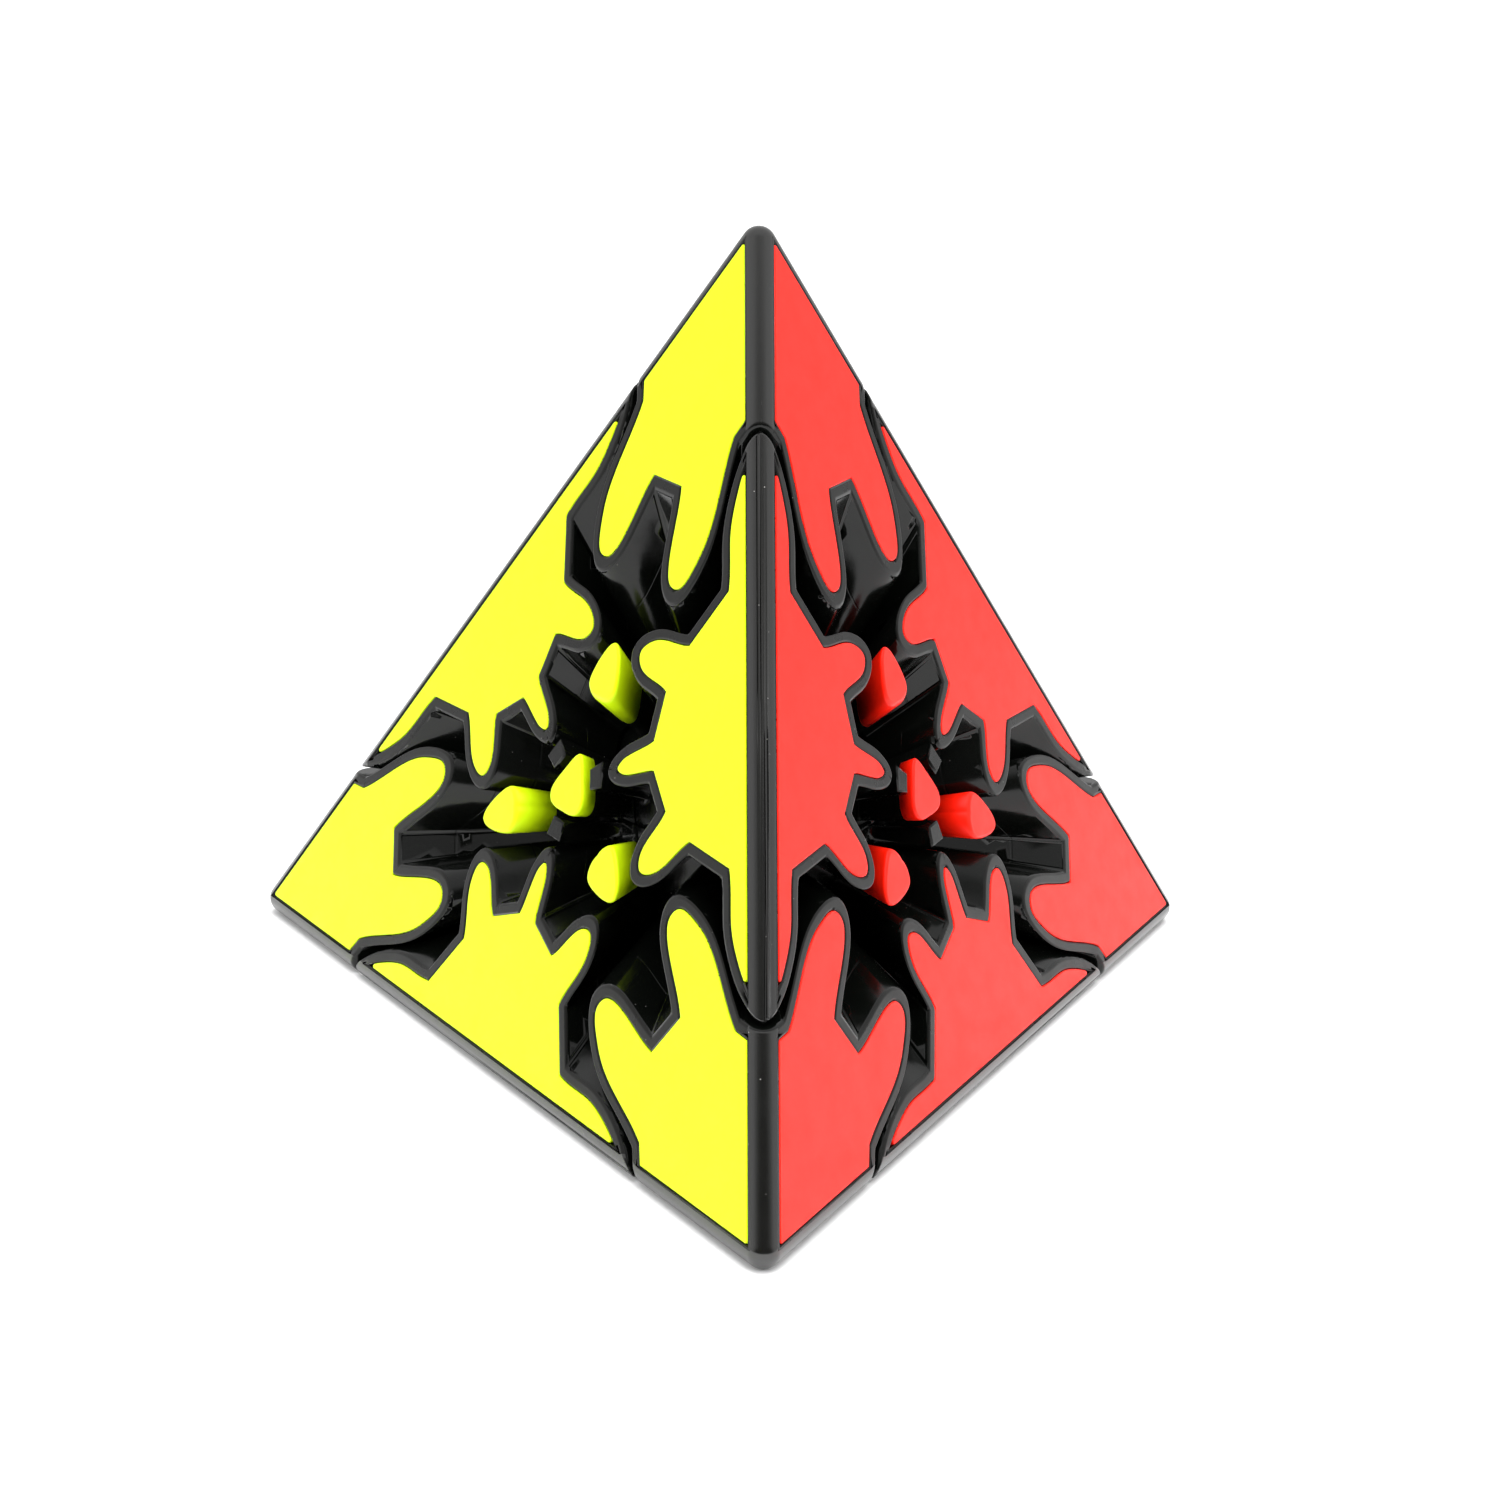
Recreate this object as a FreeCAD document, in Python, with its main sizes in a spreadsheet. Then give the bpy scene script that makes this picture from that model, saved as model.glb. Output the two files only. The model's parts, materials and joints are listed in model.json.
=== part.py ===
"""Geared pyramid puzzle: four corner gears and six edge gears round one core.

The origin is the middle of the core, where every axis of the puzzle crosses.
+Z runs up through the top corner, and the puzzle rests on the face at the bottom.
The side walls of every gear, post and tab run along rays from the origin, so a
piece that turns about any axis through the origin sweeps a simple cone.
"""
import FreeCAD, Part
import Sketcher

import math
import os

DIMENSIONS = [
    ("edge_length", 98.0, "mm, between the sharp corners of the pyramid"),
    ("edge_round", 1.6, "mm, radius along the pyramid's edges"),
    ("tile_rim", 1.13, "mm, black rim round each coloured tile"),
    ("tile_inset", 2.4, "mm, from the pyramid's sharp edge to a tile"),
    ("tile_thick", 0.8, "mm"),
    ("edge_teeth", 8, "teeth of an edge gear"),
    ("corner_teeth", 6, "teeth of a corner gear"),
    ("gear_inner", 14.3, "mm, radius of the hollow under every gear"),
    ("plate_outer", 14.0, "mm, outer radius of the inner pieces' plates"),
    ("plate_inner", 11.05, "mm, inner radius of the plates"),
    ("foot_outer", 10.8, "mm, outer radius of the feet that hold the plates"),
    ("foot_inner", 8.3, "mm, inner radius of the feet"),
    ("neck_lap", 0.3, "mm, lap of a neck into its foot and its plate"),
    ("plate_cone", 77.9, "degrees, half angle of a layer's cut through the plates"),
    ("foot_cone", 85.9, "degrees, half angle of a layer's cut through the feet"),
    ("cone_play", 0.45, "degrees, half of the gap between neighbours at a cut"),
    ("core_ball", 8.0, "mm, radius of the core's ball"),
    ("core_arm", 3.0, "mm, radius of the core's four arms"),
    ("core_arm_tip", 13.7, "mm, from the middle of the core to an arm's tip"),
    ("running_play", 0.05, "mm, radial play of a running fit"),
    ("screw_shank", 1.5, "mm, radius"),
    ("screw_tip", 4.6, "mm, from the middle of the core to a screw's tip"),
    ("screw_seat", 30.0, "mm, from the middle of the core to a screw's head"),
    ("screw_head", 2.9, "mm, radius of a screw's head"),
    ("screw_head_thick", 2.2, "mm"),
    ("slot_wide", 0.8, "mm, width of the cross slots in a screw's head"),
    ("slot_deep", 1.2, "mm"),
    ("chamber", 3.4, "mm, radius of the spring chamber in a corner gear"),
    ("chamber_floor", 20.0, "mm, from the middle of the core"),
    ("chamber_roof", 34.0, "mm, from the middle of the core"),
    ("spring_coil", 2.3, "mm, mean radius of the spring"),
    ("spring_wire", 0.35, "mm, radius of the spring's wire"),
    ("spring_turns", 5, "turns of a spring"),
    ("axle_shank", 1.9, "mm, radius of an edge gear's axle"),
    ("axle_head", 3.0, "mm, radius of the axle's head, inside a carrier"),
    ("axle_head_low", 8.7, "mm, from the middle of the core"),
    ("axle_head_high", 10.0, "mm, from the middle of the core"),
    ("axle_snap", 2.6, "mm, radius of the snap end inside an edge gear"),
    ("axle_snap_low", 22.5, "mm, from the middle of the core"),
    ("axle_snap_high", 23.6, "mm, from the middle of the core"),
    ("pocket_play", 0.1, "mm, room round the heads of an axle"),
    ("post_root", 12.8, "mm, height at which a post's stem leaves its tripod"),
    ("post_cap", 3.6, "mm, height of the coloured cap on a post's stem"),
    ("tab_root", 12.0, "mm, height at which a tab leaves its carrier's plate"),
    ("centre_cap", 1.6, "mm, height of the coloured cap on a centre piece"),
    ("overrun", 1.0, "mm, how far a tool runs past what it cuts or joins"),
    ("section_low", 8.0, "mm, height of a gear's lower outline"),
    ("wedge_low", 3.0, "mm, height of an inner piece's lower outline"),
    ("wedge_high", 15.0, "mm, height of an inner piece's upper outline"),
]

# Tooth flanks as (angle from the gear's axis, half the tooth's angle about it), in
# degrees, from the root to the tip.
EDGE_TOOTH = [(24.4, 14.3), (27.0, 12.3), (31.0, 10.3), (35.0, 7.0), (37.4, 3.6), (38.3, 0.0)]
CORNER_TOOTH = [(16.0, 20.8), (19.0, 17.6), (22.0, 15.7), (25.0, 12.9), (27.5, 8.6),
                (29.0, 4.4), (29.6, 0.0)]

# Half outlines in the plane of a face, as shares of the edge length, measured from
# the middle of the face: (towards the corner or edge, sideways).
POST_HALF = [(0.1440, 0.0), (0.1400, 0.0075), (0.1310, 0.0140), (0.1120, 0.0217),
             (0.1040, 0.0234), (0.0965, 0.0227), (0.0905, 0.0174), (0.0870, 0.0)]
CENTRE_HALF = [(0.0345, 0.0), (0.0290, 0.0066), (0.0162, 0.0152), (0.0020, 0.0240),
               (-0.0120, 0.0282), (-0.0205, 0.0240), (-0.0242, 0.0150), (-0.0246, 0.0)]
TAB_HALF = [(0.0320, 0.0105), (0.0520, 0.0135)]

TO_FACE_FROM_CORNER = math.degrees(math.acos(1 / 3))
TO_CORNER_FROM_CORNER = 180 - TO_FACE_FROM_CORNER
TO_FACE_FROM_EDGE = math.degrees(math.acos(math.sqrt(1 / 3)))

CORNERS = {"top": (0, 0), "front": (TO_CORNER_FROM_CORNER, -90),
           "right": (TO_CORNER_FROM_CORNER, 30), "left": (TO_CORNER_FROM_CORNER, 150)}
FACES = {"yellow": ("top", "front", "left"), "red": ("top", "right", "front"),
         "blue": ("top", "left", "right"), "green": ("front", "right", "left")}
EDGES = {"top_front": ("top", "front"), "top_left": ("top", "left"),
         "top_right": ("top", "right"), "front_left": ("front", "left"),
         "front_right": ("front", "right"), "left_right": ("left", "right")}

doc = FreeCAD.newDocument("GearPyramid")
sheet = doc.addObject("Spreadsheet::Sheet", "Dimensions")
for row, (alias, number, note) in enumerate(DIMENSIONS, start=1):
    sheet.set("A%d" % row, alias)
    sheet.set("B%d" % row, str(number))
    sheet.setAlias("B%d" % row, alias)
    sheet.set("C%d" % row, note)
doc.recompute()

ORIGIN = FreeCAD.Vector(0, 0, 0)
UP = FreeCAD.Vector(0, 0, 1)


def size(alias):
    """The number that the sheet holds under this alias."""
    return float(sheet.get(alias))


def sheet_value(expression):
    """The number that an expression of the sheet's aliases comes to."""
    return float(sheet.evalExpression(expression))


FACE_DISTANCE = size("edge_length") / math.sqrt(24)
EDGE_DISTANCE = math.sqrt(3) * FACE_DISTANCE
CORNER_DISTANCE = 3 * FACE_DISTANCE
PAST_THE_TIP = 1.1


def direction(polar, azimuth):
    """Unit vector at these angles, in degrees, from +Z and from +X."""
    flat = math.sin(math.radians(polar))
    return FreeCAD.Vector(flat * math.cos(math.radians(azimuth)),
                          flat * math.sin(math.radians(azimuth)),
                          math.cos(math.radians(polar)))


def new(kind, name, **bound):
    """An object of the document whose properties are bound to expressions."""
    item = doc.addObject(kind, name)
    for prop, expression in bound.items():
        item.setExpression(prop, expression)
    return item


def feature(name, shape):
    item = doc.addObject("Part::Feature", name)
    item.Shape = shape
    return item


def cut(name, base, tool):
    item = doc.addObject("Part::Cut", name)
    item.Base = base
    item.Tool = tool
    return item


def common(name, items):
    item = doc.addObject("Part::MultiCommon", name)
    item.Shapes = items
    return item


def fuse(name, items):
    item = doc.addObject("Part::MultiFuse", name)
    item.Shapes = items
    return item


def cylinder(name, radius, low, high, way=UP):
    """A cylinder about a ray from the origin, between two distances along it."""
    item = new("Part::Cylinder", name, Radius=radius, Height="(%s) - (%s)" % (high, low))
    doc.recompute()
    start = item.evalExpression(low)
    item.Placement = FreeCAD.Placement(way * float(start), FreeCAD.Rotation(UP, way))
    return item


# ---------------------------------------------------------------- outer shape

def tetrahedron(name, corners):
    """The pyramid with its edges rounded, its corners along these directions."""
    points = [corner * CORNER_DISTANCE for corner in corners]
    faces = []
    for missing in range(len(points)):
        triangle = [p for i, p in enumerate(points) if i != missing]
        outward = (triangle[1] - triangle[0]).cross(triangle[2] - triangle[0])
        if outward.dot(triangle[0]) < 0:
            triangle.reverse()
        faces.append(Part.Face(Part.makePolygon(triangle + triangle[:1])))
    sharp = feature(name + "_sharp", Part.makeSolid(Part.makeShell(faces)))
    rounded = doc.addObject("Part::Fillet", name)
    rounded.Base = sharp
    radius = size("edge_round")
    rounded.Edges = [(i + 1, radius, radius) for i in range(len(sharp.Shape.Edges))]
    return rounded


CORNER_UP = [direction(0, 0)] + [direction(TO_CORNER_FROM_CORNER, a) for a in (60, 180, 300)]
EDGE_UP = [direction(TO_FACE_FROM_EDGE, 90), direction(TO_FACE_FROM_EDGE, -90),
           direction(180 - TO_FACE_FROM_EDGE, 0), direction(180 - TO_FACE_FROM_EDGE, 180)]
FACE_UP = [direction(TO_FACE_FROM_CORNER, a) for a in (0, 120, 240)]


# ---------------------------------------------------------------- radial walls

def tooth_rays(tooth, middle):
    """Rays along a tooth's outline, from one root over the tip to the other."""
    half = [(polar, -turn) for polar, turn in tooth]
    whole = half + [(polar, -turn) for polar, turn in reversed(half[:-1])]
    return [direction(polar, middle + turn) for polar, turn in whole]


def toothed_wire(runs):
    """Wire of smooth teeth, each through its own points, joined by straight roots."""
    edges = []
    for number, points in enumerate(runs):
        flank = Part.BSplineCurve()
        flank.interpolate(points)
        edges.append(flank.toShape())
        edges.append(Part.makeLine(points[-1], runs[(number + 1) % len(runs)][0]))
    return Part.Wire(edges)


def tooth_ring(distance, tooth, teeth, first):
    """Outline of a gear, in the plane at this distance along its axis."""
    runs = []
    for number in range(teeth):
        rays = tooth_rays(tooth, first + number * 360 / teeth)
        runs.append([ray * (distance / ray.z) for ray in rays])
    return toothed_wire(runs)


def face_outline(distance, half):
    """Outline drawn in a face's plane, scaled to this distance from the origin.

    It lies towards -X. A half that starts and ends on the axis gives two smooth
    curves, and any other half gives a polygon.
    """
    scale = size("edge_length") * distance / FACE_DISTANCE
    side = [FreeCAD.Vector(-along * scale, across * scale, distance) for along, across in half]
    other = [FreeCAD.Vector(p.x, -p.y, p.z) for p in reversed(side)]
    if half[0][1] > 0:
        return Part.makePolygon(side + other + side[:1])
    curves = []
    for points in (side, other):
        curve = Part.BSplineCurve()
        curve.interpolate(points)
        curves.append(curve.toShape())
    return Part.Wire(curves)


def radial_loft(name, low_wire, high_wire):
    """Solid whose walls run along rays from the origin between two like outlines."""
    loft = doc.addObject("Part::Loft", name)
    loft.Sections = [feature(name + "_low", low_wire), feature(name + "_high", high_wire)]
    loft.Solid = True
    loft.Ruled = True
    return loft


def column(name, half, low, high):
    return radial_loft(name, face_outline(low, half), face_outline(high, half))


# ---------------------------------------------------------------- tiles

def face_triangle(outset, corner_at):
    """A pyramid face, laid flat, with a corner at this azimuth and its sides moved out."""
    reach = math.sqrt(CORNER_DISTANCE ** 2 - FACE_DISTANCE ** 2) + 2 * outset
    points = [FreeCAD.Vector(reach * math.cos(math.radians(a)),
                             reach * math.sin(math.radians(a)), FACE_DISTANCE)
              for a in (corner_at, corner_at + 120, corner_at + 240)]
    return Part.Face(Part.makePolygon(points + points[:1]))


def set_in(points, distance):
    """Move each point of a flat loop inwards, so that its sides all shift alike."""
    moved = []
    for number, point in enumerate(points):
        before = (point - points[number - 1]).normalize()
        after = (points[(number + 1) % len(points)] - point).normalize()
        inward = FreeCAD.Vector(-before.y - after.y, before.x + after.x, 0)
        moved.append(point + inward * (distance / (1 + before.dot(after))))
    return moved


def tile(name, tooth, teeth, first, polar, corner_at):
    """The coloured tile of a gear, on the face at azimuth 0.

    Its outline is the gear's, cut by the plane of the face and set in by the rim.
    """
    stand = FreeCAD.Rotation(FreeCAD.Vector(0, 1, 0), polar)
    lay = stand.inverted()
    blunt = tooth[:-2] + tooth[-1:]
    middles = [first + n * 360 / teeth for n in range(-teeth, teeth)]
    runs = []
    for middle in [m for m in middles if abs(m) <= 90]:
        rays = [lay.multVec(ray) for ray in tooth_rays(blunt, middle)]
        runs.append([ray * (FACE_DISTANCE / ray.z) for ray in rays])
    loop = set_in([point for run in runs for point in run], size("tile_rim"))
    length = len(runs[0])
    runs = [loop[i:i + length] for i in range(0, len(loop), length)]
    within = face_triangle(-size("tile_inset"), corner_at)
    outline = Part.Face(toothed_wire(runs)).common(within).Faces[0]
    solid = outline.extrude(UP * -size("tile_thick"))
    solid.Placement = FreeCAD.Placement(ORIGIN, stand)
    return feature(name, solid)


def turned(name, item, azimuth):
    shape = item.Shape.copy()
    shape.rotate(ORIGIN, UP, azimuth)
    return feature(name, shape)


# ---------------------------------------------------------------- edge and corner gears

def gear(name, tooth, teeth, first, top, envelope, polar, corner_at, azimuths, holes):
    """A gear with its recesses for the tiles, and the tile at azimuth 0."""
    blank = radial_loft(name + "_blank",
                        tooth_ring(size("section_low"), tooth, teeth, first),
                        tooth_ring(top, tooth, teeth, first))
    outside = common(name + "_outside", [blank, envelope])
    hollow = new("Part::Sphere", name + "_hollow", Radius="Dimensions.gear_inner")
    doc.recompute()
    first_tile = tile(name + "_tile", tooth, teeth, first, polar, corner_at)
    recesses = [turned("%s_recess_%d" % (name, a), first_tile, a) for a in azimuths]
    tools = fuse(name + "_tools", [hollow] + holes + recesses)
    return cut(name, outside, tools), first_tile


corner_up_pyramid = tetrahedron("pyramid_corner_up", CORNER_UP)
edge_up_pyramid = tetrahedron("pyramid_edge_up", EDGE_UP)

corner_holes = [
    cylinder("corner_bore", "Dimensions.screw_shank + Dimensions.running_play",
             "Dimensions.section_low", "Dimensions.chamber_floor + Dimensions.overrun"),
    cylinder("corner_chamber", "Dimensions.chamber",
             "Dimensions.chamber_floor", "Dimensions.chamber_roof"),
]
corner_gear, corner_tile = gear(
    "corner_gear", CORNER_TOOTH, int(size("corner_teeth")), 30, PAST_THE_TIP * CORNER_DISTANCE,
    corner_up_pyramid, TO_FACE_FROM_CORNER, 180, (0, 120, 240), corner_holes)

edge_holes = [
    cylinder("edge_bore", "Dimensions.axle_shank + Dimensions.running_play",
             "Dimensions.section_low", "Dimensions.axle_snap_low"),
    cylinder("edge_pocket", "Dimensions.axle_snap + Dimensions.pocket_play",
             "Dimensions.axle_snap_low - Dimensions.pocket_play",
             "Dimensions.axle_snap_high + Dimensions.pocket_play"),
]
edge_gear, edge_tile = gear(
    "edge_gear", EDGE_TOOTH, int(size("edge_teeth")), 0, PAST_THE_TIP * EDGE_DISTANCE,
    edge_up_pyramid, TO_FACE_FROM_EDGE, 0, (0, 180), edge_holes)


# ---------------------------------------------------------------- inner pieces

PLATE = ("plate_inner", "plate_outer", 0, 0, "plate_cone", "plate_cone")
FOOT = ("foot_inner", "foot_outer", 0, 0, "foot_cone", "foot_cone")
NECK = ("foot_outer", "plate_inner", -1, 1, "plate_cone", "foot_cone")
WITHIN = -1
BEYOND = 1


def crossing(one, one_angle, other, other_angle):
    """The higher of the two rays at these angles, in degrees, from two others."""
    a = math.cos(math.radians(one_angle))
    b = math.cos(math.radians(other_angle))
    dot = one.dot(other)
    flat = (one * (a - b * dot) + other * (b - a * dot)) * (1 / (1 - dot * dot))
    rise = one.cross(other).normalize() * math.sqrt(1 - flat.dot(flat))
    return max(flat + rise, flat - rise, key=lambda ray: ray.z)


def arc_rays(way, start, stop, steps=6):
    """Rays from start to stop, turning about way."""
    first = start - way * way.dot(start)
    last = stop - way * way.dot(stop)
    angle = math.degrees(math.atan2(first.cross(last).dot(way), first.dot(last)))
    return [FreeCAD.Rotation(way, angle * i / steps).multVec(start) for i in range(steps + 1)]


def arc_ring(distance, bounds):
    """Closed outline of cones about corners, in the plane at this distance up +Z."""
    corners = [crossing(*bounds[i - 1], *bounds[i]) for i in range(len(bounds))]
    edges = []
    for number, (way, _) in enumerate(bounds):
        rays = arc_rays(way, corners[number], corners[(number + 1) % len(bounds)])
        curve = Part.BSplineCurve()
        curve.interpolate([ray * (distance / ray.z) for ray in rays])
        edges.append(curve.toShape())
    return Part.Wire(edges)


def zone(name, level, bounds):
    """Part of a spherical shell bounded by cones about some of the corners."""
    low, high, low_lap, high_lap, within_cone, beyond_cone = level
    outer = new("Part::Sphere", name + "_outer",
                Radius="Dimensions.%s + %d * Dimensions.neck_lap" % (high, high_lap))
    inner = new("Part::Sphere", name + "_inner",
                Radius="Dimensions.%s + %d * Dimensions.neck_lap" % (low, low_lap))
    angles = {WITHIN: size(within_cone) - size("cone_play"),
              BEYOND: size(beyond_cone) + size("cone_play")}
    sides = [(way, angles[side]) for way, side in bounds]
    wedge = radial_loft(name + "_wedge", arc_ring(size("wedge_low"), sides),
                        arc_ring(size("wedge_high"), sides))
    return cut(name, common(name + "_region", [outer, wedge]), inner)


def layered(name, bounds):
    """Plate, neck and foot of an inner piece, in one solid."""
    levels = (("plate", PLATE), ("neck", NECK), ("foot", FOOT))
    zones = [zone("%s_%s" % (name, word), level, bounds) for word, level in levels]
    return fuse(name + "_layers", zones)


def tilted(item, polar, azimuth):
    """Turn an item drawn about +Z so that it stands on the face at these angles."""
    item.Placement = FreeCAD.Placement(
        ORIGIN, FreeCAD.Rotation(UP, azimuth) * FreeCAD.Rotation(FreeCAD.Vector(0, 1, 0), polar))
    return item


cap_foot = FACE_DISTANCE - size("post_cap")
post_cap = column("post_cap", POST_HALF, cap_foot, FACE_DISTANCE)
post_at_face = tilted(post_cap, TO_FACE_FROM_CORNER, 0)

stem = tilted(column("post_stem", POST_HALF, size("post_root"), cap_foot),
              TO_FACE_FROM_CORNER, 0)
doc.recompute()
tripod_solids = [layered("tripod", [(way, BEYOND) for way in CORNER_UP[1:]])]
tripod_solids += [turned("tripod_stem_%d" % a, stem, a) for a in (0, 120, 240)]
tripod_bore = cylinder("tripod_bore", "Dimensions.core_arm + Dimensions.running_play",
                       "0", "Dimensions.gear_inner")
tripod = cut("tripod", fuse("tripod_body", tripod_solids), tripod_bore)

carrier_bounds = [(EDGE_UP[1], WITHIN), (EDGE_UP[3], BEYOND),
                  (EDGE_UP[0], WITHIN), (EDGE_UP[2], BEYOND)]
tabs = []
for azimuth in (0, 180):
    tab = column("tab_%d" % azimuth, TAB_HALF, size("tab_root"), FACE_DISTANCE)
    tabs.append(tilted(tab, TO_FACE_FROM_EDGE, azimuth))
carrier_holes = [
    cylinder("carrier_bore", "Dimensions.axle_shank + Dimensions.running_play",
             "0", "Dimensions.gear_inner"),
    cylinder("carrier_pocket", "Dimensions.axle_head + Dimensions.pocket_play",
             "0", "Dimensions.axle_head_high + Dimensions.pocket_play"),
]
carrier = cut("carrier",
              fuse("carrier_body", [layered("carrier", carrier_bounds)] + tabs),
              fuse("carrier_tools", carrier_holes))

HALF_TURN = FreeCAD.Placement(ORIGIN, FreeCAD.Rotation(UP, 180))
centre_neck = FACE_DISTANCE - size("centre_cap")
centre_column = column("centre_column", CENTRE_HALF, size("foot_outer"), centre_neck)
centre_column.Placement = HALF_TURN
centre_base = fuse("centre_base",
                   [layered("centre", [(way, WITHIN) for way in FACE_UP]), centre_column])
centre_cap = column("centre_cap", CENTRE_HALF, centre_neck, FACE_DISTANCE)
centre_cap.Placement = HALF_TURN


# ---------------------------------------------------------------- core, screws, springs, axles

def along_corners(name, radius, low, high):
    return [cylinder("%s_%s" % (name, corner), radius, low, high, direction(*CORNERS[corner]))
            for corner in CORNERS]


ball = new("Part::Sphere", "core_ball", Radius="Dimensions.core_ball")
arms = along_corners("core_arm", "Dimensions.core_arm", "0", "Dimensions.core_arm_tip")
threads = along_corners("core_thread", "Dimensions.screw_shank",
                        "Dimensions.screw_tip", "Dimensions.core_arm_tip + Dimensions.overrun")
core = cut("core_body", fuse("core_solid", [ball] + arms), fuse("core_threads", threads))


def turned_body(name, profile):
    """A PartDesign body: a closed profile in (radius, height) turned about Z."""
    body = doc.addObject("PartDesign::Body", name)
    sketch = body.newObject("Sketcher::SketchObject", name + "_profile")
    plane = [f for f in body.Origin.OriginFeatures if f.Role == "XZ_Plane"][0]
    sketch.AttachmentSupport = [(plane, "")]
    sketch.MapMode = "FlatFace"
    lines = []
    for number, (radius, height) in enumerate(profile):
        other = profile[(number + 1) % len(profile)]
        lines.append(Part.LineSegment(FreeCAD.Vector(sheet_value(radius),
                                                     sheet_value(height), 0),
                                      FreeCAD.Vector(sheet_value(other[0]),
                                                     sheet_value(other[1]), 0)))
    sketch.addGeometry(lines, False)
    count = len(profile)
    for number in range(count):
        sketch.addConstraint(Sketcher.Constraint("Coincident", number, 2,
                                                 (number + 1) % count, 1))
    for number, (radius, height) in enumerate(profile):
        for kind, value in (("DistanceX", radius), ("DistanceY", height)):
            index = sketch.addConstraint(Sketcher.Constraint(
                kind, -1, 1, number, 1, sheet_value(value)))
            if value != "0":
                sketch.setExpression("Constraints[%d]" % index, value)
    turn = body.newObject("PartDesign::Revolution", name + "_turned")
    turn.Profile = sketch
    turn.ReferenceAxis = (sketch, ["V_Axis"])
    turn.Angle = 360
    return body


head_top = "Dimensions.screw_seat + Dimensions.screw_head_thick"
screw_turned = turned_body("screw", [
    ("0", "Dimensions.screw_tip"),
    ("Dimensions.screw_shank", "Dimensions.screw_tip"),
    ("Dimensions.screw_shank", "Dimensions.screw_seat"),
    ("Dimensions.screw_head", "Dimensions.screw_seat"),
    ("Dimensions.screw_head", head_top),
    ("0", head_top),
])
slots = []
for number in range(2):
    slot = new("Part::Box", "slot_%d" % number, Width="Dimensions.slot_wide",
               Length="3 * Dimensions.screw_head / 2", Height="Dimensions.slot_deep")
    slots.append(slot)
doc.recompute()
for number, slot in enumerate(slots):
    turn = FreeCAD.Rotation(UP, 90 * number)
    corner = FreeCAD.Vector(-slot.Length.Value / 2, -slot.Width.Value / 2,
                            sheet_value(head_top) - slot.Height.Value)
    slot.Placement = FreeCAD.Placement(turn.multVec(corner), turn)
screw = cut("screw_slotted", screw_turned, fuse("slots", slots))

axle = turned_body("axle", [
    ("0", "Dimensions.axle_head_low"),
    ("Dimensions.axle_head", "Dimensions.axle_head_low"),
    ("Dimensions.axle_head", "Dimensions.axle_head_high"),
    ("Dimensions.axle_shank", "Dimensions.axle_head_high"),
    ("Dimensions.axle_shank", "Dimensions.axle_snap_low"),
    ("Dimensions.axle_snap", "Dimensions.axle_snap_low"),
    ("Dimensions.axle_shank", "Dimensions.axle_snap_high"),
    ("0", "Dimensions.axle_snap_high"),
])

coil_space = ("(Dimensions.screw_seat - Dimensions.chamber_floor - 2 * Dimensions.spring_wire"
              " - 4 * Dimensions.running_play)")
helix = new("Part::Helix", "spring_path", Height=coil_space, Radius="Dimensions.spring_coil",
            Pitch=coil_space + " / Dimensions.spring_turns")
ring = new("Part::Circle", "spring_ring", Radius="Dimensions.spring_wire")
ring.Placement = FreeCAD.Placement(FreeCAD.Vector(size("spring_coil"), 0, 0),
                                   FreeCAD.Rotation(FreeCAD.Vector(1, 0, 0), 90))
doc.recompute()
coil = doc.addObject("Part::Sweep", "spring_coil")
coil.Sections = [ring]
coil.Spine = (helix, ["Edge%d" % (i + 1) for i in range(len(helix.Shape.Edges))])
coil.Solid = True
coil.Frenet = True
spring_foot = size("chamber_floor") + size("spring_wire") + 2 * size("running_play")
coil.Placement = FreeCAD.Placement(UP * spring_foot, FreeCAD.Rotation())
doc.recompute()


# ---------------------------------------------------------------- placing

def frame_of(axis, towards):
    """Rotation that takes +Z to axis and +X as near as it can to towards."""
    across = axis.cross(towards)
    return FreeCAD.Rotation(across.cross(axis), across, axis, "ZXY")


def corner_way(corner):
    return direction(*CORNERS[corner])


def face_way(face):
    total = sum((corner_way(c) for c in FACES[face]), FreeCAD.Vector())
    return total.normalize()


def edge_way(edge):
    total = sum((corner_way(c) for c in EDGES[edge]), FreeCAD.Vector())
    return total.normalize()


def faces_at(corners):
    """Colours of the faces that all of these corners belong to."""
    return [face for face in FACES if all(c in FACES[face] for c in corners)]


def any_towards(corners):
    return face_way(faces_at(corners)[0])


SUBPARTS = []


def place(node, master, *rotations):
    """A sub-part: one solid, or a group of like solids, at these rotations."""
    shapes = []
    for rotation in rotations:
        shape = master.Shape.copy()
        shape.Placement = FreeCAD.Placement(ORIGIN, rotation) * shape.Placement
        shapes.append(shape)
    item = doc.addObject("Part::Feature", node)
    item.Label = node
    item.Shape = shapes[0] if len(shapes) == 1 else Part.makeCompound(shapes)
    SUBPARTS.append(item)
    return item


def corner_frame(corner, face=None):
    return frame_of(corner_way(corner), face_way(face) if face else any_towards([corner]))


def edge_frame(edge, face=None):
    return frame_of(edge_way(edge), face_way(face) if face else any_towards(EDGES[edge]))


def centre_frame(face):
    return frame_of(face_way(face), corner_way(FACES[face][0]))


LOWER_CORNERS = [c for c in CORNERS if c != "top"]
UPPER_EDGES = [e for e in EDGES if "top" in EDGES[e]]
LOWER_EDGES = [e for e in EDGES if "top" not in EDGES[e]]

place("core", core, FreeCAD.Rotation())
place("corner_screws", screw, *[corner_frame(c) for c in CORNERS])
place("spring_top", coil, corner_frame("top"))
place("springs_lower", coil, *[corner_frame(c) for c in LOWER_CORNERS])

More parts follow.
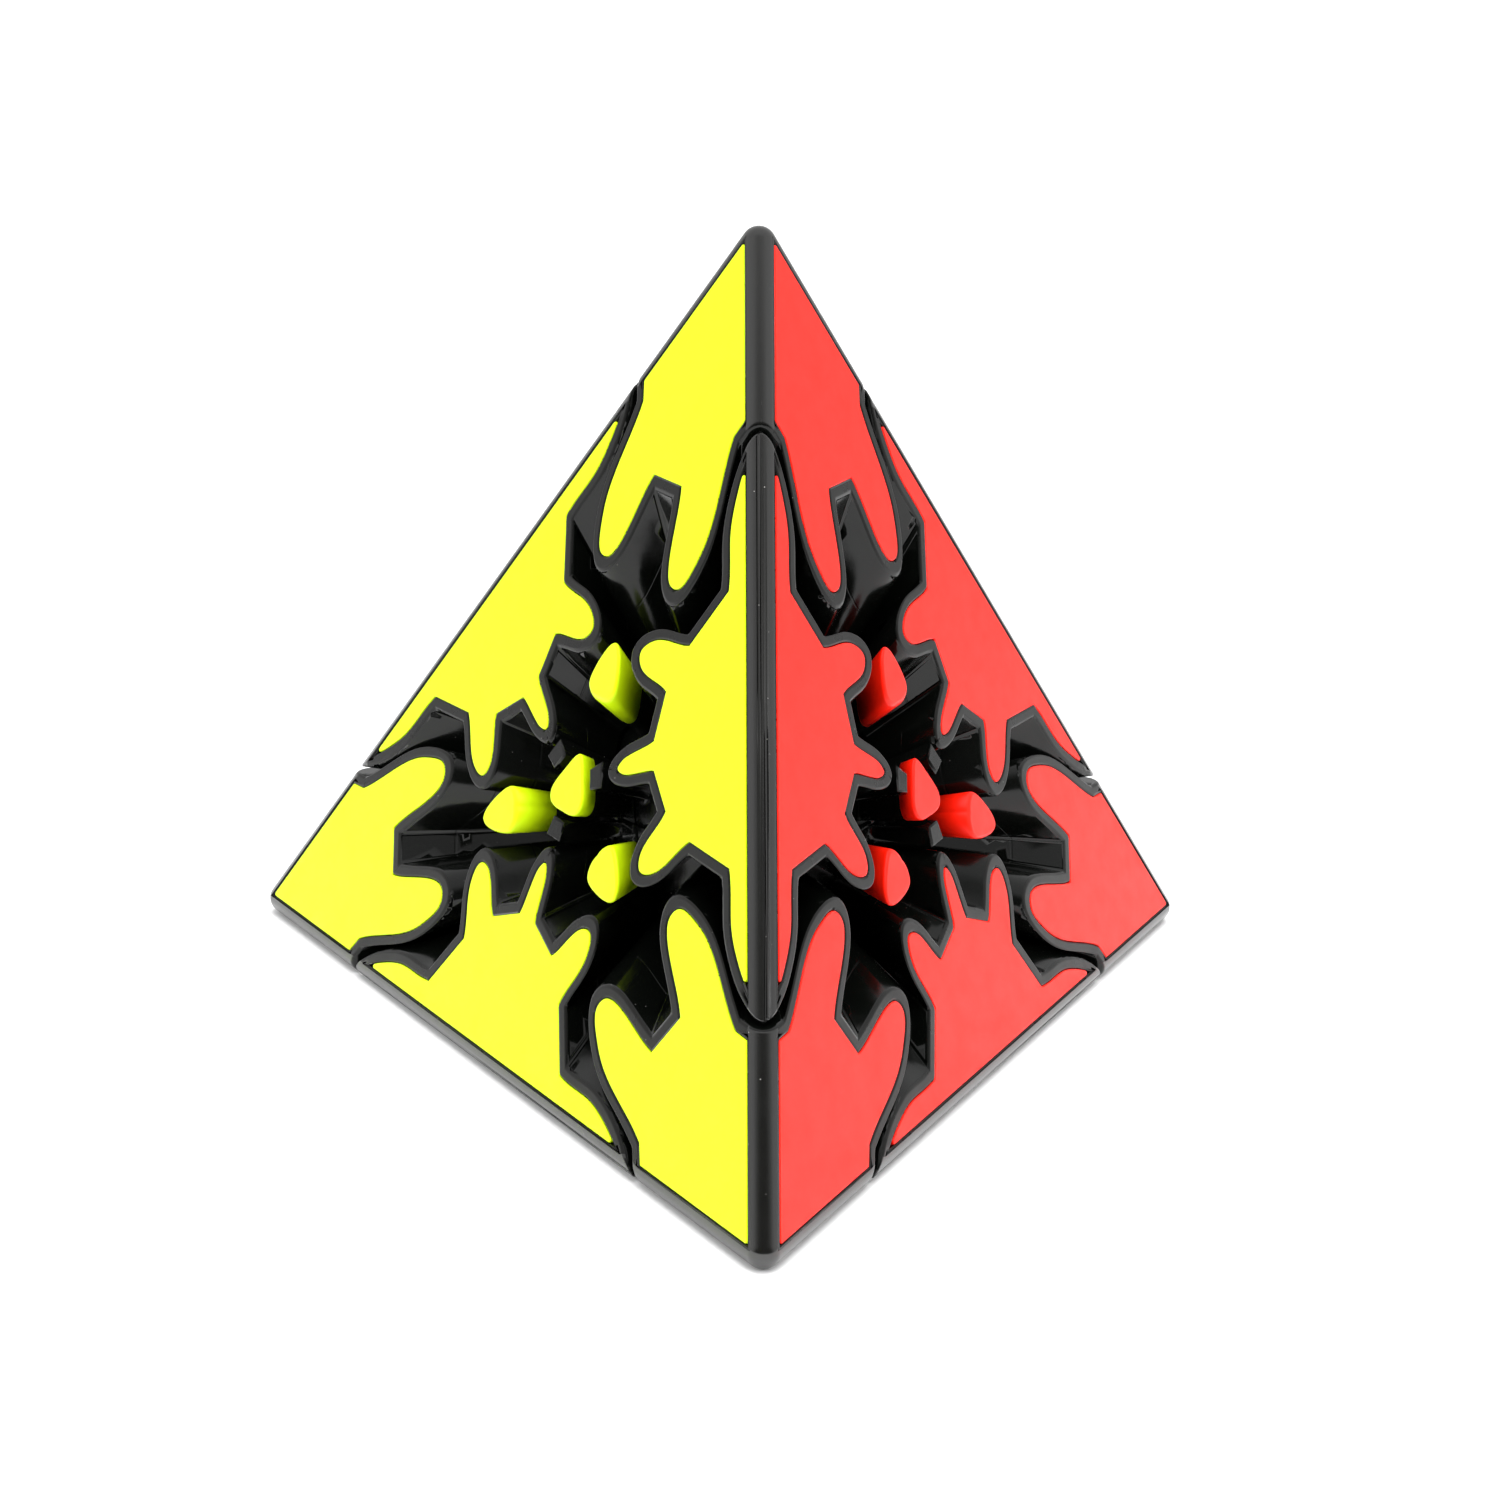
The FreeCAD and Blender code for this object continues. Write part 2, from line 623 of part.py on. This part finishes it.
place("tripod_top", tripod, corner_frame("top"))
place("tripods_lower", tripod, *[corner_frame(c) for c in LOWER_CORNERS])
for corner in CORNERS:
    place("corner_gear_" + corner, corner_gear, corner_frame(corner))
    for colour in faces_at([corner]):
        place("corner_tile_%s_%s" % (corner, colour), corner_tile, corner_frame(corner, colour))

place("carriers_upper", carrier, *[edge_frame(e) for e in UPPER_EDGES])
place("carriers_lower", carrier, *[edge_frame(e) for e in LOWER_EDGES])
place("axles_lower", axle, *[edge_frame(e) for e in LOWER_EDGES])
for edge in UPPER_EDGES:
    place("axle_" + edge, axle, edge_frame(edge))
for edge in EDGES:
    place("edge_gear_" + edge, edge_gear, edge_frame(edge))
    for colour in faces_at(EDGES[edge]):
        place("edge_tile_%s_%s" % (edge, colour), edge_tile, edge_frame(edge, colour))

place("centre_base_lower", centre_base, centre_frame("green"))
place("centre_bases_upper", centre_base, *[centre_frame(f) for f in FACES if "top" in FACES[f]])
for colour, members in FACES.items():
    place("centre_" + colour, centre_cap, centre_frame(colour))
    upper = [corner_frame(c, colour) for c in members if c == "top"]
    lower = [corner_frame(c, colour) for c in members if c != "top"]
    if upper:
        place("post_upper_" + colour, post_at_face, *upper)
    place("posts_lower_" + colour, post_at_face, *lower)

doc.recompute()

# ---------------------------------------------------------------- checking and writing

for item in doc.Objects:
    broken = [word for word in item.State if word in ("Invalid", "Error")]
    if broken:
        raise RuntimeError("%s: %s" % (item.Name, broken))
for item in SUBPARTS:
    if item.Shape.isNull() or not item.Shape.isValid() or not item.Shape.Solids:
        raise RuntimeError("%s: no valid shape" % item.Label)

os.makedirs("parts", exist_ok=True)
for item in SUBPARTS:
    item.Shape.exportStep("parts/%s.step" % item.Label)
    print("%-32s %2d solids %9.1f mm3" % (item.Label, len(item.Shape.Solids), item.Shape.Volume))
print(len(SUBPARTS), "sub-parts")
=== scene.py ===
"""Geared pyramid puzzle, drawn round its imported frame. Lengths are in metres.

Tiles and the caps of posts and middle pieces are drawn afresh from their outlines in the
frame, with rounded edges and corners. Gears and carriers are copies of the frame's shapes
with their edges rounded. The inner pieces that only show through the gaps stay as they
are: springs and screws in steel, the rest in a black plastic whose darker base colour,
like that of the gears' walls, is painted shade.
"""
import json
import math

import bmesh
import bpy
from mathutils import Matrix, Vector

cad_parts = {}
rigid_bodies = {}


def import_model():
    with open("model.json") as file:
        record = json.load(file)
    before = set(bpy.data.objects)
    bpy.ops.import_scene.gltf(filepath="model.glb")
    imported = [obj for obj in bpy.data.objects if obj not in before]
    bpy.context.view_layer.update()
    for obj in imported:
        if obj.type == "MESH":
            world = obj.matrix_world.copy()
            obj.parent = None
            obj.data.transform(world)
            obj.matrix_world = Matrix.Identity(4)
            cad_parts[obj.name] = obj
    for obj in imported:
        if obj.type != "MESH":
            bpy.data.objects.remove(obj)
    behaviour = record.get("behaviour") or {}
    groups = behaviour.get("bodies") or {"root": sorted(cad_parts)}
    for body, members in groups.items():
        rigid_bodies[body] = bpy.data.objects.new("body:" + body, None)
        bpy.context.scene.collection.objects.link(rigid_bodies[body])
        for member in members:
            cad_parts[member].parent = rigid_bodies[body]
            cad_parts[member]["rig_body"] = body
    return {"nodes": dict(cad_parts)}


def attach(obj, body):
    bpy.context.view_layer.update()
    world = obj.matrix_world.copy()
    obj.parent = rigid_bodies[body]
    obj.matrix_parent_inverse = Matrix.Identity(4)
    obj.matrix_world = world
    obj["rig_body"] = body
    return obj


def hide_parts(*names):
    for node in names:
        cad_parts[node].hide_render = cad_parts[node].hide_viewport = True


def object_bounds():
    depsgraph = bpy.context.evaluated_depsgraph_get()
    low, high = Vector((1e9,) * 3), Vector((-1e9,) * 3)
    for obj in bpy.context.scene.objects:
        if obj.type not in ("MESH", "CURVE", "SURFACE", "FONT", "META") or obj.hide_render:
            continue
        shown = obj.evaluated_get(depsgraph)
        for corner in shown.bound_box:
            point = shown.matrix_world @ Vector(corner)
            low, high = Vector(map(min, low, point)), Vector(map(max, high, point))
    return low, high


MM = 0.001

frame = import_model()
CAD_LOW, CAD_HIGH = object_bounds()

# ---------------------------------------------------------------- driving sizes

FACE_DISTANCE = -CAD_LOW.z
EDGE = FACE_DISTANCE * math.sqrt(24)
TILE_THICK = 0.8 * MM
POST_CAP = 3.6 * MM
CENTRE_CAP = 1.6 * MM
# Radii of the rounding along the top edge, and at the outline's corners.
TILE_ROUND = (0.12 * MM, 0.12 * MM)
POST_ROUND = (0.38 * MM, 0.18 * MM)
CENTRE_ROUND = (0.28 * MM, 0.22 * MM)
RIM_EDGE = 0.30 * MM
TAB_EDGE = 0.25 * MM
SEAM_DEPTH = 3.4 * MM
SEAM_WIDTH = 0.09 * MM
FLOOR_GAP = 0.03 * MM
FLOOR_REACH = 40 * EDGE

# How shapes are read from the frame and rounded.
WELD = 0.0005 * MM
NEAR = 0.01 * MM
PARALLEL = 0.999
WALL_SLANT = 0.12
CREASE = math.radians(24)
FAN_STEP = math.radians(14)
SHARPEST = 0.12
ARC_STEPS = 4
BEVEL_STEPS = 3

TO_FACE = math.acos(1 / 3)
FACE_WAYS = [Vector((0, 0, -1))] + [
    Vector((math.sin(TO_FACE) * math.cos(a), math.sin(TO_FACE) * math.sin(a), math.cos(TO_FACE)))
    for a in (math.radians(-150), math.radians(-30), math.radians(90))]


# ---------------------------------------------------------------- materials

class Nodes:
    """Short ways to add and join shader nodes in one material."""

    def __init__(self, name):
        self.material = bpy.data.materials.new(name)
        self.material.use_nodes = True
        self.tree = self.material.node_tree
        self.shader = self.tree.nodes["Principled BSDF"]
        self.place = self.tree.nodes.new("ShaderNodeTexCoord").outputs["Object"]

    def link(self, out, socket):
        self.tree.links.new(out, socket)

    def noise(self, scale, detail=2.0, stretch=None, roughness=0.5):
        node = self.tree.nodes.new("ShaderNodeTexNoise")
        node.inputs["Scale"].default_value = scale
        node.inputs["Detail"].default_value = detail
        node.inputs["Roughness"].default_value = roughness
        start = self.place
        if stretch:
            mapping = self.tree.nodes.new("ShaderNodeMapping")
            mapping.inputs["Scale"].default_value = stretch
            self.link(start, mapping.inputs["Vector"])
            start = mapping.outputs["Vector"]
        self.link(start, node.inputs["Vector"])
        return node.outputs["Fac"]

    def specks(self, scale, radius):
        """1 in small dots that are far apart, 0 between them."""
        node = self.tree.nodes.new("ShaderNodeTexVoronoi")
        node.inputs["Scale"].default_value = scale
        self.link(self.place, node.inputs["Vector"])
        return self.spread(node.outputs["Distance"], 0.6 * radius, radius, 1.0, 0.0)

    def spread(self, value, from_low, from_high, to_low, to_high):
        """The value, carried over from one range of numbers to another."""
        node = self.tree.nodes.new("ShaderNodeMapRange")
        node.inputs["From Min"].default_value = from_low
        node.inputs["From Max"].default_value = from_high
        node.inputs["To Min"].default_value = to_low
        node.inputs["To Max"].default_value = to_high
        self.link(value, node.inputs["Value"])
        return node.outputs["Result"]

    def math(self, operation, one, other):
        node = self.tree.nodes.new("ShaderNodeMath")
        node.operation = operation
        for socket, value in zip(node.inputs, (one, other)):
            if isinstance(value, (int, float)):
                socket.default_value = value
            else:
                self.link(value, socket)
        return node.outputs["Value"]

    def mix(self, share, one, other):
        node = self.tree.nodes.new("ShaderNodeMix")
        node.data_type = "RGBA"
        self.link(share, node.inputs["Factor"])
        for socket, value in ((node.inputs["A"], one), (node.inputs["B"], other)):
            if isinstance(value, tuple):
                socket.default_value = (*value, 1)
            else:
                self.link(value, socket)
        return node.outputs["Result"]

    def line_below_faces(self, depth):
        """1 on a thin line that runs this far below the nearest of the pyramid's faces."""
        reach = None
        for way in FACE_WAYS:
            node = self.tree.nodes.new("ShaderNodeVectorMath")
            node.operation = "DOT_PRODUCT"
            node.inputs[1].default_value = way
            self.link(self.place, node.inputs[0])
            out = node.outputs["Value"]
            reach = out if reach is None else self.math("MAXIMUM", reach, out)
        off = self.math("ABSOLUTE", self.math("SUBTRACT", reach, FACE_DISTANCE - depth), 0)
        return self.spread(off, 0.5 * SEAM_WIDTH, SEAM_WIDTH, 1.0, 0.0)

    def bump(self, height, distance, strength=1.0):
        node = self.tree.nodes.new("ShaderNodeBump")
        node.inputs["Distance"].default_value = distance
        node.inputs["Strength"].default_value = strength
        self.link(height, node.inputs["Height"])
        self.link(node.outputs["Normal"], self.shader.inputs["Normal"])


GRAIN_HEIGHT = 0.004 * MM
GRAIN_STRENGTH = 0.5
SEAM_TO_GRAIN = 14.0
DUST = (0.35, 0.34, 0.32)
COLOURED_GLOSS = 0.24


def coloured_plastic(name, colour, deep, roughness):
    """Moulded plastic, coloured right through: slight cloudiness and a fine grain."""
    n = Nodes(name)
    cloud = n.spread(n.noise(180, 3), 0.35, 0.65, 0, 1)
    n.link(n.mix(cloud, deep, colour), n.shader.inputs["Base Color"])
    smear = n.noise(420, 4)
    n.link(n.spread(smear, 0.3, 0.7, roughness - 0.05, roughness + 0.06),
           n.shader.inputs["Roughness"])
    grain = n.math("ADD", n.noise(9000, 2), n.math("MULTIPLY", n.noise(900, 2), 1.5))
    n.bump(grain, GRAIN_HEIGHT, GRAIN_STRENGTH)
    n.shader.inputs["Specular IOR Level"].default_value = COLOURED_GLOSS
    return n.material


def black_plastic(name, colour, roughness, gloss, dust, scratches=0.0, seam=0.0):
    """Black moulding: a fine grain, dust specks and, where hands rub it, scratches.

    With a seam, a fine parting line runs along the walls this far below the faces.
    """
    n = Nodes(name)
    specks = n.specks(900, 0.06)
    specks = n.math("MULTIPLY", specks, n.spread(n.noise(120, 2), 0.5, 0.62, 0, dust))
    n.link(n.mix(specks, colour, DUST), n.shader.inputs["Base Color"])
    smear = n.noise(300, 4)
    level = n.spread(smear, 0.3, 0.7, roughness - 0.05, roughness + 0.08)
    if scratches:
        lines = n.noise(700, 5, stretch=(14, 1, 0.35), roughness=0.7)
        lines = n.spread(lines, 0.62, 0.72, 0, scratches)
        level = n.math("ADD", level, lines)
    n.link(level, n.shader.inputs["Roughness"])
    grain = n.math("ADD", n.noise(9000, 2), n.math("MULTIPLY", n.noise(700, 3), 2.0))
    if seam:
        groove = n.math("MULTIPLY", n.line_below_faces(seam), SEAM_TO_GRAIN)
        grain = n.math("SUBTRACT", grain, groove)
    n.bump(grain, GRAIN_HEIGHT, GRAIN_STRENGTH)
    n.shader.inputs["Specular IOR Level"].default_value = gloss
    return n.material


def bright_steel(name, colour, roughness):
    """Bare steel with uneven roughness."""
    n = Nodes(name)
    n.shader.inputs["Metallic"].default_value = 1.0
    n.shader.inputs["Base Color"].default_value = (*colour, 1)
    n.link(n.spread(n.noise(1500, 3), 0.3, 0.7, roughness - 0.06, roughness + 0.1),
           n.shader.inputs["Roughness"])
    n.bump(n.noise(5000, 2), 0.003 * MM, 0.4)
    return n.material


COLOURS = {
    "yellow": ((0.66, 0.93, 0.004), (0.62, 0.88, 0.003)),
    "red": ((0.90, 0.011, 0.0025), (0.87, 0.010, 0.0020)),
    "blue": ((0.010, 0.110, 0.80), (0.008, 0.095, 0.72)),
    "green": ((0.010, 0.48, 0.055), (0.008, 0.43, 0.048)),
}
TILE_ROUGHNESS = 0.36
tile_plastic = {word: coloured_plastic(word + "_tile", colour, deep, TILE_ROUGHNESS)
                for word, (colour, deep) in COLOURS.items()}
rim_plastic = black_plastic("black_rim", (0.0040, 0.0040, 0.0036),
                            roughness=0.30, gloss=0.23, dust=0.8)
ridge_plastic = black_plastic("black_ridge", (0.0045, 0.0045, 0.0040),
                              roughness=0.14, gloss=0.85, dust=0.8, scratches=0.14)
# The gears' walls are the same black plastic as the rims; their darker base colour is painted shade
# for the deep gaps between the pieces.
wall_plastic_painted_shade = black_plastic("black_wall_painted_shade", (0.0018, 0.0022, 0.0018),
                             roughness=0.14, gloss=0.30, dust=0.2, seam=SEAM_DEPTH)
# The inner pieces and carriers are the same black plastic as the rims; their darker base colour is
# painted shade for the gaps they show through.
inner_plastic_painted_shade = black_plastic("black_inner_painted_shade", (0.0022, 0.0025, 0.0022),
                              roughness=0.16, gloss=0.25, dust=0.3)
screw_steel = bright_steel("screw_steel", (0.55, 0.55, 0.56), 0.3)
spring_steel = bright_steel("spring_steel", (0.6, 0.6, 0.6), 0.25)


# ---------------------------------------------------------------- shapes from the frame

def welded(node):
    """The node's mesh as a bmesh whose faces share their corners."""
    mesh = bmesh.new()
    mesh.from_mesh(frame["nodes"][node].data)
    bmesh.ops.remove_doubles(mesh, verts=mesh.verts, dist=WELD)
    bmesh.ops.dissolve_degenerate(mesh, dist=WELD, edges=mesh.edges)
    mesh.normal_update()
    return mesh


def outlines(node):
    """Outlines, each with its outward way, of the node's flat ends at the surface."""
    mesh = welded(node)
    found = []
    for way in FACE_WAYS:
        tops = [f for f in mesh.faces if f.normal.dot(way) > PARALLEL
                and abs(f.calc_center_median().dot(way) - FACE_DISTANCE) < NEAR]
        among_tops = set(tops)
        follows = {}
        for face in tops:
            for corner in face.loops:
                if not any(f in among_tops and f is not face for f in corner.edge.link_faces):
                    follows[corner.vert] = corner.link_loop_next.vert
        while follows:
            start, at = follows.popitem()
            points = [start.co.copy()]
            while at is not start:
                points.append(at.co.copy())
                at = follows.pop(at)
            found.append((points, way))
    mesh.free()
    return found


def sides_at(points, number):
    """Directions of the sides before and after a point of a loop."""
    point = points[number]
    before = (point - points[number - 1]).normalized()
    after = (points[(number + 1) % len(points)] - point).normalized()
    return before, after


def moved_in(points, way, distance):
    """The loop's points moved inwards, so that every side shifts by this distance."""
    moved = []
    for number, point in enumerate(points):
        before, after = sides_at(points, number)
        share = distance / max(1 + before.dot(after), SHARPEST)
        moved.append(point + way.cross(before + after) * share)
    return moved


def without_crossings(points, way, distance):
    """The loop without the points whose sides would turn over when moved in."""
    points = list(points)
    while True:
        moved = moved_in(points, way, distance)
        count = len(points)
        nexts = [(n, (n + 1) % count) for n in range(count)]
        crossed = [ends for ends in nexts
                   if (moved[ends[1]] - moved[ends[0]]).dot(points[ends[1]] - points[ends[0]]) <= 0]
        if not crossed:
            return points
        ends = crossed[0]
        straight = [sides_at(points, n)[0].dot(sides_at(points, n)[1]) for n in ends]
        points.pop(ends[straight.index(max(straight))])


def grown_rays(points, way):
    """Where and which way an inner loop grows: fans at its corners, else one ray each."""
    rays = []
    for number, point in enumerate(points):
        before, after = sides_at(points, number)
        first = before.cross(way)
        last = after.cross(way)
        angle = math.atan2(first.cross(last).dot(way), first.dot(last))
        if angle > FAN_STEP:
            steps = math.ceil(angle / FAN_STEP)
            for step in range(steps + 1):
                rays.append((point, Matrix.Rotation(angle * step / steps, 3, way) @ first))
        else:
            rays.append((point, (first + last) / (1 + first.dot(last))))
    return rays


def add_cap(mesh, points, way, depth, radii, radial):
    """A cap with this outline: flat on top, with a rounded edge and rounded corners.

    Its walls go straight down, or, if radial, along rays from the middle of the core.
    """
    edge, corner = radii
    kept = without_crossings(points, way, edge + corner)
    rays = grown_rays(moved_in(kept, way, edge + corner), way)
    levels = [(depth, edge + corner)]
    for step in range(ARC_STEPS + 1):
        turn = math.pi / 2 * step / ARC_STEPS
        levels.append((edge * (1 - math.sin(turn)), corner + edge * math.cos(turn)))
    rings = []
    for drop, reach in levels:
        ring = []
        for point, ray in rays:
            at = point + ray * reach
            at = at * (1 - drop / FACE_DISTANCE) if radial else at - way * drop
            ring.append(mesh.verts.new(at))
        rings.append(ring)
    count = len(rays)
    for low, high in zip(rings, rings[1:]):
        for n in range(count):
            after = (n + 1) % count
            mesh.faces.new((low[n], low[after], high[after], high[n])).smooth = True
    mesh.faces.new(rings[-1]).smooth = False
    mesh.faces.new(reversed(rings[0])).smooth = False


# ---------------------------------------------------------------- visible pieces

def visible(node, mesh, materials):
    """An object with this mesh that stands for a node of the frame."""
    data = bpy.data.meshes.new(node + "_visible")
    mesh.to_mesh(data)
    mesh.free()
    if "custom_normal" in data.attributes:
        data.attributes.remove(data.attributes["custom_normal"])
    for material in materials:
        data.materials.append(material)
    item = bpy.data.objects.new(node + "_visible", data)
    bpy.context.scene.collection.objects.link(item)
    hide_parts(node)
    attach(item, frame["nodes"][node]["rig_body"])
    return item


def cap(node, material, depth, radii, radial):
    """Tiles and the caps of posts and centres, drawn from their outlines."""
    mesh = bmesh.new()
    for points, way in outlines(node):
        add_cap(mesh, points, way, depth, radii, radial)
    visible(node, mesh, [material])


def rounded_copy(node, materials, width, pick=None, only_top=False):
    """The node's own shape with its creases, or only its ends' outlines, rounded."""
    mesh = welded(node)
    for face in mesh.faces:
        face.smooth = True
        face.material_index = pick(face) if pick else 0
    if only_top:
        weight = mesh.edges.layers.float.new("bevel_weight_edge")
        for edge in mesh.edges:
            near = [any(abs(v.co.dot(w) - FACE_DISTANCE) < NEAR for w in FACE_WAYS)
                    for v in edge.verts]
            edge[weight] = 1.0 if all(near) and edge.calc_face_angle(0) > CREASE else 0.0
    item = visible(node, mesh, materials)
    bevel = item.modifiers.new("rounded", "BEVEL")
    bevel.width = width
    bevel.segments = BEVEL_STEPS
    bevel.limit_method = "WEIGHT" if only_top else "ANGLE"
    bevel.angle_limit = CREASE
    bevel.use_clamp_overlap = False
    bevel.harden_normals = True
    bevel.miter_outer = "MITER_SHARP"


RIM, WALL, RIDGE = 0, 1, 2


def gear_finish(face):
    """Rims on the flat faces, rubbed ridges along the rounded edges, radial walls between; the
    walls take a darker black that is painted shade.
    """
    outward = face.normal.dot(face.calc_center_median().normalized())
    if outward < WALL_SLANT:
        return WALL
    return RIM if any(face.normal.dot(way) > PARALLEL for way in FACE_WAYS) else RIDGE


for node in sorted(frame["nodes"]):
    colour = node.split("_")[-1]
    if "_gear_" in node:
        rounded_copy(node, [rim_plastic, wall_plastic_painted_shade, ridge_plastic],
                     RIM_EDGE, pick=gear_finish)
    elif "_tile_" in node:
        cap(node, tile_plastic[colour], TILE_THICK, TILE_ROUND, False)
    elif node.startswith("post"):
        cap(node, tile_plastic[colour], POST_CAP, POST_ROUND, True)
    elif node.startswith("centre") and colour in COLOURS:
        cap(node, tile_plastic[colour], CENTRE_CAP, CENTRE_ROUND, True)
    elif node.startswith("carriers"):
        rounded_copy(node, [inner_plastic_painted_shade], TAB_EDGE, only_top=True)
    elif node.startswith("spring"):
        frame["nodes"][node].data.materials[0] = spring_steel
    elif node == "corner_screws":
        frame["nodes"][node].data.materials[0] = screw_steel
    else:
        frame["nodes"][node].data.materials[0] = inner_plastic_painted_shade


# ---------------------------------------------------------------- floor, light and camera

def area_light(name, where, side, watts):
    """A round lamp that points at the middle of the core and makes no bright spots."""
    light = bpy.data.lights.new(name, "AREA")
    light.shape = "DISK"
    light.size = side
    light.energy = watts
    lamp = bpy.data.objects.new(name, light)
    lamp.location = where
    lamp.rotation_mode = "QUATERNION"
    lamp.rotation_quaternion = Vector(where).to_track_quat("Z", "Y")
    lamp.visible_glossy = False
    bpy.context.scene.collection.objects.link(lamp)


def white_floor():
    """A pale sheet under the puzzle, wide enough to meet the white surroundings."""
    mesh = bmesh.new()
    low = -FACE_DISTANCE - FLOOR_GAP
    corners = [(-1, -1), (1, -1), (1, 1), (-1, 1)]
    mesh.faces.new([mesh.verts.new((x * FLOOR_REACH, y * FLOOR_REACH, low)) for x, y in corners])
    data = bpy.data.meshes.new("floor")
    mesh.to_mesh(data)
    mesh.free()
    n = Nodes("white_paper")
    n.link(n.mix(n.noise(60, 3), (0.93, 0.93, 0.93), (0.90, 0.90, 0.90)),
           n.shader.inputs["Base Color"])
    n.shader.inputs["Roughness"].default_value = 0.9
    n.shader.inputs["Specular IOR Level"].default_value = 0.1
    data.materials.append(n.material)
    item = bpy.data.objects.new("floor", data)
    bpy.context.scene.collection.objects.link(item)


ROOM_BRIGHTNESS = 0.08
ROOM_FADE = (0.25, 0.75)


def studio_surroundings(tree):
    """White all round except in front, where the room behind the camera is dim."""
    surroundings = tree.nodes["Background"]
    surroundings.inputs["Color"].default_value = (1, 1, 1, 1)
    way = tree.nodes.new("ShaderNodeTexCoord").outputs["Generated"]
    front = tree.nodes.new("ShaderNodeVectorMath")
    front.operation = "DOT_PRODUCT"
    front.inputs[1].default_value = (0, -1, 0)
    tree.links.new(way, front.inputs[0])
    fade = tree.nodes.new("ShaderNodeMapRange")
    fade.interpolation_type = "SMOOTHSTEP"
    for socket, value in (("From Min", ROOM_FADE[0]), ("From Max", ROOM_FADE[1]),
                          ("To Min", 1.0), ("To Max", ROOM_BRIGHTNESS)):
        fade.inputs[socket].default_value = value
    tree.links.new(front.outputs["Value"], fade.inputs["Value"])
    tree.links.new(fade.outputs["Result"], surroundings.inputs["Strength"])


white_floor()
world = bpy.data.worlds.new("studio")
bpy.context.scene.world = world
world.use_nodes = True
studio_surroundings(world.node_tree)
area_light("overhead", (0.05, -0.15, 0.9), side=0.9, watts=11.0)
area_light("front_left", (-0.7, -0.6, 0.55), side=0.6, watts=5.0)
area_light("front_right", (0.7, -0.6, 0.5), side=0.6, watts=5.0)

CAMERA_AZIMUTH = math.radians(-3.44)
CAMERA_HEIGHT = math.radians(18.90)
CAMERA_ROLL = math.radians(1.87)
CAMERA_DISTANCE = 3.341 * EDGE
AIM_RIGHT = 0.0094 * EDGE
AIM_UP = 0.0694 * EDGE
LENS = 82.88
SENSOR = 36


def studio_camera():
    """A camera that looks at the near edge from a little above."""
    back = Vector((math.sin(CAMERA_AZIMUTH) * math.cos(CAMERA_HEIGHT),
                   -math.cos(CAMERA_AZIMUTH) * math.cos(CAMERA_HEIGHT),
                   math.sin(CAMERA_HEIGHT)))
    level = Vector((math.cos(CAMERA_AZIMUTH), math.sin(CAMERA_AZIMUTH), 0))
    upright = back.cross(level)
    right = math.cos(CAMERA_ROLL) * level + math.sin(CAMERA_ROLL) * upright
    up = math.cos(CAMERA_ROLL) * upright - math.sin(CAMERA_ROLL) * level
    data = bpy.data.cameras.new("camera")
    data.lens = LENS
    data.sensor_width = SENSOR
    data.clip_start = 0.01
    data.clip_end = 20
    item = bpy.data.objects.new("camera", data)
    turn = Matrix((right, up, back)).transposed().to_4x4()
    where = AIM_RIGHT * right + AIM_UP * up + CAMERA_DISTANCE * back
    item.matrix_world = Matrix.Translation(where) @ turn
    bpy.context.scene.collection.objects.link(item)
    return item


bpy.context.scene.camera = studio_camera()
bpy.context.scene.view_settings.view_transform = "Standard"
